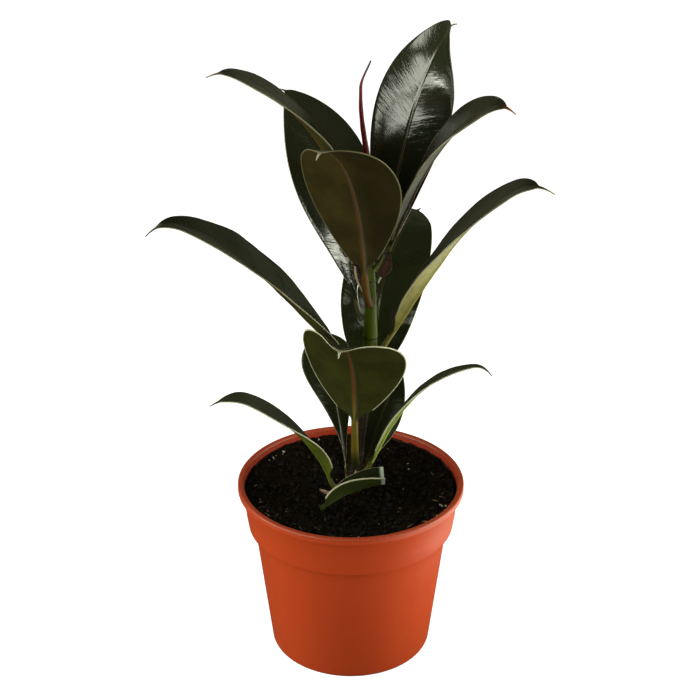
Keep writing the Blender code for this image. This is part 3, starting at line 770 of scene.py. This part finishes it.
def leaf_finish(name, tint, under):
    """The finish of one side of a leaf: waxed above, dull below."""
    made, tree, shader = new_finish(name + ("_under_skin" if under else "_upper_skin"))
    coords = object_coords(tree)
    margin, midrib, along = (
        add_node(tree, "Attribute", attribute_name=fact).outputs["Fac"]
        for fact in ("from_margin", "from_midrib", "along"))
    blade = add_node(tree, "UVMap", uv_map="blade").outputs[0]
    out, length = add_node(tree, "SeparateXYZ", {0: blade}).outputs[:2]
    cloudy = speckle(tree, coords, 60, 4, 0.6)
    mottled = speckle(tree, coords, 420, 4, 0.65)

    # Side veins slope from the midrib, with a finer set between them
    slope = maths(tree, "SUBTRACT", length, maths(
        tree, "MULTIPLY", maths(tree, "ABSOLUTE", out), VEIN_SLOPE))
    wander = maths(tree, "MULTIPLY", speckle(tree, coords, 90, 2), 0.0012)
    slope = maths(tree, "ADD", slope, wander)
    fine = maths(tree, "SINE", maths(tree, "MULTIPLY", slope, 2 * pi / (VEIN_SPACING / 5)))
    coarse = maths(tree, "SINE", maths(tree, "MULTIPLY", slope, 2 * pi / VEIN_SPACING))

    if under:
        pale = tint.get("below", OLIVE)
        colour = mixed(tree, fade(tree, cloudy, 0.35, 0.65), tuple(0.62 * c for c in pale), pale)
        veins = maths(tree, "MULTIPLY", fade(tree, coarse, 0.75, 1.0), 0.12)
        colour = mixed(tree, veins, colour, tuple(1.4 * c for c in pale))
        rib_width = maths(tree, "MULTIPLY_ADD", along, -0.0006, 0.0008)
        rib = fade(tree, maths(tree, "SUBTRACT", midrib, rib_width), 0.0003, -0.0002)
        rib_colour = mixed(tree, fade(tree, along, 0.30, 0.0), tint.get("rib", RUST),
                           tint.get("foot", tint.get("rib", STRAW)))
        # Painted shade: the underside's left half is darkened, as if it turned away from the
        # light.
        painted_shade = maths(tree, "MULTIPLY", fade(tree, out, -0.002, 0.008), tint.get("painted_shade", 0.0))
        colour = mixed(tree, painted_shade, colour, (0.006, 0.005, 0.001))
        colour = mixed(tree, rib, colour, rib_colour)
    else:
        dark = tint.get("above", (0.014, 0.018, 0.0060))
        colour = mixed(tree, cloudy, dark, tuple(1.6 * c for c in dark))
        colour = mixed(tree, maths(tree, "MULTIPLY", mottled, 0.3), colour, (0.025, 0.027, 0.010))
        # The groove of the midrib is pale beside a dark line, and narrows to the tip
        groove_reach = maths(tree, "MULTIPLY_ADD", along, -0.00055, 0.0009)
        groove = fade(tree, maths(tree, "SUBTRACT", midrib, groove_reach), 0.0002, -0.0003)
        colour = mixed(tree, maths(tree, "MULTIPLY", groove, 0.85), colour, tint.get(
            "groove", (0.060, 0.050, 0.020)))
        line = fade(tree, midrib, 0.00028, 0.00008)
        colour = mixed(tree, maths(tree, "MULTIPLY", line, 0.6), colour, (0.012, 0.009, 0.004))
    stalk = tint.get("foot", (0.130, 0.120, 0.018))
    stalk = mixed(tree, cloudy, stalk, tuple(0.6 * c for c in stalk))
    # Painted shade: the petiole darkens towards its foot, where it meets the stem in shade.
    if "painted_shade_heel" in tint:
        stalk = mixed(tree, fade(tree, along, -0.45, -0.85), stalk, tint["painted_shade_heel"])
    petiole = fade(tree, along, 0.03, -0.05)
    colour = mixed(tree, petiole, colour, stalk)
    tip = fade(tree, along, 0.93, 0.975)
    rim = fade(tree, maths(tree, "SUBTRACT", margin, 0.0004 if under else 0.00012), 0.00022, 0.0)
    rim = maths(tree, "MULTIPLY", rim, maths(tree, "SUBTRACT", 1.0, tip))
    edge = tint.get("edge", (0.36, 0.32, 0.19))
    colour = mixed(tree, rim, colour, mixed(tree, cloudy, tuple(0.7 * c for c in edge), edge))
    colour = mixed(tree, tip, colour, tint.get("tip", (0.030, 0.022, 0.010)))

    rough = maths(tree, "MULTIPLY_ADD", mottled, 0.15 if under else 0.10, 0.40 if under else 0.11)
    rough = add_node(tree, "Mix", {0: petiole, 2: rough, 3: 0.42}).outputs[0]

    # Pleats run out along the side veins, over a fine leathery grain
    pleated = add_node(tree, "CombineXYZ", {
        0: maths(tree, "MULTIPLY", slope, 620),
        1: maths(tree, "MULTIPLY", out, 110)}).outputs[0]
    pleats = speckle(tree, pleated, 1.0, 3, 0.6, 0.4)
    relief = maths(tree, "ADD", maths(tree, "MULTIPLY", fine, 0.06), maths(
        tree, "MULTIPLY", mottled, 0.5))
    leathery = bumped(tree, relief, 0.30, 0.00012)
    depth = 0.00003 if under else 0.00020
    fill_sockets(shader, {
        "Base Color": colour, "Roughness": rough,
        "Specular IOR Level": 0.2 if under else tint.get("gloss", 0.7),
        "IOR": 1.5 if under else tint.get("dense", 1.5),
        "Normal": bumped(tree, pleats, 0.8, depth, leathery)})
    return made


def grow_leaf(name, leaf, seed):
    """Rolls a grid into the leaf's rings, closes its seam and ends, and finishes its sides."""
    leaf = {"ripple": TINTS.get(name, {}).get("ripple", 0.00035), **leaf}
    rings, facts = leaf_rings(leaf, seed)
    heading = radians(leaf["heading"])
    start = Vector(leaf["root"]) if "root" in leaf else stem_centre(leaf["height"])
    place = Matrix.Translation(start) @ Matrix.Rotation(heading, 4, "Z")
    around, rows = 4 * QUARTER, len(rings) - 1
    deselect()
    bpy.ops.mesh.primitive_grid_add(x_subdivisions=around, y_subdivisions=rows, size=1)
    made = named(name + "_blade")
    mesh = made.data
    keys = [(round((v.co.x + 0.5) * around) % around, round((v.co.y + 0.5) * rows))
            for v in mesh.vertices]
    for vert, (k, row) in zip(mesh.vertices, keys):
        vert.co = place @ rings[row][k]
    for index, fact in enumerate(("from_margin", "from_midrib", "underside", "along")):
        values = [facts[row][k][index] for k, row in keys]
        mesh.attributes.new(fact, "FLOAT", "POINT").data.foreach_set("value", values)
    blade_map = mesh.uv_layers[0]
    blade_map.name = "blade"
    for loop in mesh.loops:
        k, row = keys[loop.vertex_index]
        fact = facts[row][k]
        blade_map.data[loop.index].uv = (fact[4], fact[3] * leaf["length"])
    bpy.ops.object.mode_set(mode="EDIT")
    bpy.ops.mesh.select_all(action="SELECT")
    bpy.ops.mesh.remove_doubles(threshold=0.000002)
    bpy.ops.mesh.select_all(action="DESELECT")
    bpy.ops.mesh.select_non_manifold()
    bpy.ops.mesh.edge_face_add()
    bpy.ops.mesh.select_all(action="SELECT")
    bpy.ops.mesh.normals_make_consistent(inside=False)
    bpy.ops.object.mode_set(mode="OBJECT")
    bpy.ops.object.shade_smooth_by_angle(angle=radians(60))
    for under in (False, True):
        mesh.materials.append(leaf_finish(name, TINTS.get(name, {}), under))
    below = mesh.attributes["underside"].data
    for face in mesh.polygons:
        face.material_index = int(any(below[index].value > 0.5 for index in face.vertices))
    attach(made, "root")
    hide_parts(name)


for number, (leaf_name, leaf_values) in enumerate(LEAVES.items()):
    grow_leaf(leaf_name, leaf_values, 10.0 + number)


# ---------------------------------------------------------------- Terminal sheath
# The next leaf, rolled up in a long red sheath at the stem's top. It bows a little,
# a seam winds up it, and its tip has dried black and curled over.

SHEATH_FOOT, SHEATH_TIP = (corner[2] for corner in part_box("terminal_sheath"))
SHEATH_RADIUS, SHEATH_TIP_RADIUS = 0.0021, 0.0004
SHEATH_BOW, SHEATH_CURL = 0.0046, 0.0056    # to the left, then its tip to the right
SHEATH_RINGS = 110


def sheath_centre(height):
    bow = SHEATH_BOW * smooth((height - 0.262) / 0.046)
    curl = SHEATH_CURL * smooth((height - 0.313) / 0.018)
    top = stem_centre(STEM_TOP)
    return Vector((top.x + curl - bow, 0, height))


def sheath_radius(height):
    t = (height - SHEATH_FOOT) / (SHEATH_TIP - SHEATH_FOOT)
    grown = SHEATH_TIP_RADIUS + (SHEATH_RADIUS - SHEATH_TIP_RADIUS) * (1 - t ** 1.6)
    return grown * (1 + 0.05 * sin(t * 60) * t)


def sheath_skin():
    made, tree, shader = new_finish("sheath_skin")
    coords = object_coords(tree)
    x, y, z = add_node(tree, "SeparateXYZ", {0: coords}).outputs
    streaks = speckle(tree, add_node(tree, "Mapping", {
        "Vector": coords, "Scale": (1, 1, 0.06)}).outputs[0], 1200, 3, 0.6)
    red = mixed(tree, streaks, (0.17, 0.004, 0.012), (0.36, 0.016, 0.030))
    colour = mixed(tree, fade(tree, z, 0.255, 0.236), red, (0.085, 0.060, 0.012))
    seam = maths(tree, "SINE", maths(tree, "ADD", maths(tree, "MULTIPLY", z, 70), maths(
        tree, "ARCTAN2", y, maths(tree, "SUBTRACT", x, 0.0065))))
    colour = mixed(tree, fade(tree, seam, 0.94, 1.0), colour, (0.060, 0.006, 0.008))
    colour = mixed(tree, fade(tree, z, SHEATH_TIP - 0.008, SHEATH_TIP - 0.003), colour,
                   (0.012, 0.005, 0.004))
    fill_sockets(shader, {
        "Base Color": colour, "Roughness": 0.32, "Normal": bumped(tree, streaks, 0.3, 0.0002)})
    return made


deselect()
bpy.ops.mesh.primitive_circle_add(
    vertices=24, radius=sheath_radius(SHEATH_FOOT), fill_type="NGON",
    location=sheath_centre(SHEATH_FOOT))
sheath = named("rolled_sheath")
bpy.ops.object.transform_apply(location=True)
bpy.ops.object.mode_set(mode="EDIT")
height = SHEATH_FOOT
for step in range(1, SHEATH_RINGS + 1):
    reached = SHEATH_FOOT + (SHEATH_TIP - SHEATH_FOOT) * step / SHEATH_RINGS
    moved = sheath_centre(reached) - sheath_centre(height)
    grown = sheath_radius(reached) / sheath_radius(height)
    bpy.ops.mesh.extrude_region_move(TRANSFORM_OT_translate={"value": tuple(moved)})
    bpy.ops.transform.resize(
        value=(grown, grown, 1), center_override=tuple(sheath_centre(reached)))
    height = reached
finish_turned()
sheath.data.materials.append(sheath_skin())
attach(sheath, "root")
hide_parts("terminal_sheath")


# ---------------------------------------------------------------- Withered scraps
# Papery remains of old sheaths, and a dry fibre at the stem's foot. Each is a crumpled
# strip that still hangs on where it grew.

# Each scrap's two colours, and the stops of its route with half its width there
SCRAPS = {
    "dried_stipule": (dict(dark=(0.018, 0.0045, 0.0010), pale=(0.095, 0.022, 0.0040)), [
        ((0.0146, -0.0037, 0.2172), 0.0020), ((0.0172, -0.0054, 0.2204), 0.0026),
        ((0.0186, -0.0063, 0.2250), 0.0018), ((0.0186, -0.0057, 0.2310), 0.0005)]),
    "torn_sheath": (dict(dark=(0.030, 0.004, 0.003), pale=(0.55, 0.45, 0.33), split=True), [
        ((0.0064, -0.0014, 0.2070), 0.0006), ((0.0047, -0.0026, 0.2120), 0.0012),
        ((0.0032, -0.0036, 0.2170), 0.0013), ((0.0024, -0.0040, 0.2225), 0.0007)]),
    "dried_fibre": (dict(dark=(0.10, 0.065, 0.032), pale=(0.36, 0.27, 0.16)), [
        ((0.0030, -0.0047, 0.1060), 0.0004), ((0.0016, -0.0054, 0.1028), 0.0005),
        ((-0.0012, -0.0062, 0.0993), 0.0005), ((-0.0045, -0.0075, 0.0950), 0.0005),
        ((-0.0065, -0.0086, 0.0917), 0.0004)]),
    "pale_stipule": (dict(dark=(0.16, 0.05, 0.035), pale=(0.55, 0.38, 0.30)), [
        ((-0.0105, -0.0052, 0.0917), 0.0008), ((-0.0135, -0.0056, 0.0930), 0.0010),
        ((-0.0165, -0.0058, 0.0948), 0.0004)]),
}
SCRAP_ROWS, SCRAP_COLUMNS = 36, 8
SCRAP_THICKNESS, SCRAP_CURL, SCRAP_CRUMPLE = 0.00022, 0.9, 0.0004


def withered(name, colours):
    """Blotched across the strip, or pale on one side of it only."""
    made, tree, shader = new_finish(name + "_skin")
    coords = object_coords(tree)
    patches = speckle(tree, coords, 700, 4, 0.6)
    if colours.get("split"):
        across = add_node(tree, "SeparateXYZ", {0: add_node(tree, "UVMap").outputs[0]}).outputs[0]
        share = maths(tree, "MULTIPLY_ADD", across, 1.0, maths(tree, "MULTIPLY", patches, 0.4))
        mark = fade(tree, share, 0.72, 0.82)
    else:
        mark = fade(tree, patches, 0.40, 0.60)
    colour = mixed(tree, mark, colours["dark"], colours["pale"])
    fill_sockets(shader, {
        "Base Color": colour, "Roughness": 0.7, "Normal": bumped(tree, patches, 0.6, 0.0003)})
    return made


def curve_point(stops, t):
    """A smooth curve through the route's stops, and the half width there."""
    exact = t * (len(stops) - 1)
    i = min(int(exact), len(stops) - 2)
    f = exact - i
    near = [stops[min(max(j, 0), len(stops) - 1)] for j in range(i - 1, i + 3)]
    a, b, c, d = (Vector((*place, half)) for place, half in near)
    return 0.5 * ((2 * b) + (c - a) * f + (2 * a - 5 * b + 4 * c - d) * f ** 2
                  + (3 * b - a - 3 * c + d) * f ** 3)


for number, (scrap_name, (colours, stops)) in enumerate(SCRAPS.items()):
    deselect()
    bpy.ops.mesh.primitive_grid_add(
        x_subdivisions=SCRAP_COLUMNS, y_subdivisions=SCRAP_ROWS, size=1)
    scrap = named(scrap_name + "_strip")
    for vert in scrap.data.vertices:
        across, t = vert.co.x, vert.co.y + 0.5
        here, ahead = curve_point(stops, t), curve_point(stops, min(t + 0.02, 1.0))
        behind = curve_point(stops, max(t - 0.02, 0.0))
        along = (ahead - behind).to_3d().normalized()
        sideways = along.cross(Vector((0, 1, 0))).normalized()
        outward = sideways.cross(along)
        curl = SCRAP_CURL * here.w * (4 * across * across - 0.4)
        crumple = SCRAP_CRUMPLE * noise.noise(Vector((t * 7, across * 3, number)))
        vert.co = here.to_3d() + sideways * (2 * across * here.w) + outward * (curl + crumple)
    thicken = scrap.modifiers.new("thickness", "SOLIDIFY")
    thicken.thickness, thicken.offset = SCRAP_THICKNESS, 0
    bpy.ops.object.modifier_apply(modifier=thicken.name)
    bpy.ops.object.shade_smooth_by_angle(angle=radians(50))
    scrap.data.materials.append(withered(scrap_name, colours))
    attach(scrap, "root")
    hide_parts(scrap_name)


# ---------------------------------------------------------------- Studio
# A plain pale floor, soft lights on both sides and above, and the camera looking down
# on the pot from in front.

LIGHT_TINT, OLIVE_TINT = (0.97, 1.0, 0.84), (0.95, 1.0, 0.62)
FLOOR_RADIUS, ROOM_RADIUS = 6, 5.9


def backdrop(made, glow, paint):
    """Pale paper with a glow of its own, which throws nothing back on the plant."""
    paper, _, shader = new_finish(made.name + "_paper")
    fill_sockets(shader, {
        "Base Color": (paint, paint, paint, 1), "Roughness": 1.0, "Specular IOR Level": 0.0,
        "Emission Color": (1, 1, 1, 1), "Emission Strength": glow})
    made.data.materials.append(paper)
    made.visible_diffuse = made.visible_glossy = False


bpy.ops.mesh.primitive_circle_add(
    vertices=96, radius=FLOOR_RADIUS, fill_type="NGON", location=(0, 0, -0.0002))
backdrop(named("studio_floor"), 1.0, 0.5)
bpy.ops.mesh.primitive_uv_sphere_add(segments=64, ring_count=32, radius=ROOM_RADIUS)
room = named("studio_room")
backdrop(room, 1.0, 0.0)
room.visible_shadow = False


def softbox(name, place, target, size, radiance, tint=LIGHT_TINT):
    """A rectangular soft light turned to its target, given by how bright its face is."""
    light = bpy.data.lights.new(name, "AREA")
    light.color = tint
    light.shape = "RECTANGLE"
    light.size, light.size_y = size
    light.energy = radiance * pi * size[0] * size[1]
    made = bpy.data.objects.new(name, light)
    made.location = place
    made.rotation_euler = (Vector(target) - Vector(place)).to_track_quat("-Z", "Y").to_euler()
    made.visible_camera = False
    bpy.context.collection.objects.link(made)


softbox("left_softbox", (-0.482, -0.313, 0.34), (0.03, 0, 0.30), (0.74, 0.53), 3.0)
softbox("left_low_softbox", (-0.75, -0.10, 0.10), (0, 0, 0.08), (0.35, 0.30), 5)
softbox("right_softbox", (0.78, -0.04, 0.14), (0, 0, 0.08), (0.72, 0.55), 5.2)
softbox("right_low_softbox", (0.51, -0.40, 0.15), (0, 0, 0.20), (0.24, 0.16), 5.5)
softbox("right_bounce", (0.42, 0.06, 0.002), (0.42, 0.06, 1.0), (0.60, 0.70), 1.7)
softbox("back_right_softbox", (0.75, 0.27, 1.0), (0, 0, 0.15), (0.5, 0.5), 2.5)
softbox("back_left_softbox", (-0.75, 0.27, 1.0), (0, 0, 0.15), (0.5, 0.5), 2.5)
softbox("back_glow", (0, 1.1, 0.55), (0, 0, 0.2), (1.8, 1.0), 0.07, OLIVE_TINT)

sky = bpy.data.worlds.new("studio_air")
bpy.context.scene.world = sky
sky.use_nodes = True
fill_sockets(sky.node_tree.nodes["Background"], {"Color": (*OLIVE_TINT, 1), "Strength": 0.055})

lens = bpy.data.cameras.new("camera")
lens.lens, lens.sensor_width = 88.45, 36
camera = bpy.data.objects.new("camera", lens)
camera.location = (-0.0015, -0.7863, 0.5588)
camera.rotation_euler = (radians(64), 0, 0)
bpy.context.collection.objects.link(camera)
bpy.context.scene.camera = camera
bpy.context.scene.view_settings.view_transform = "Standard"
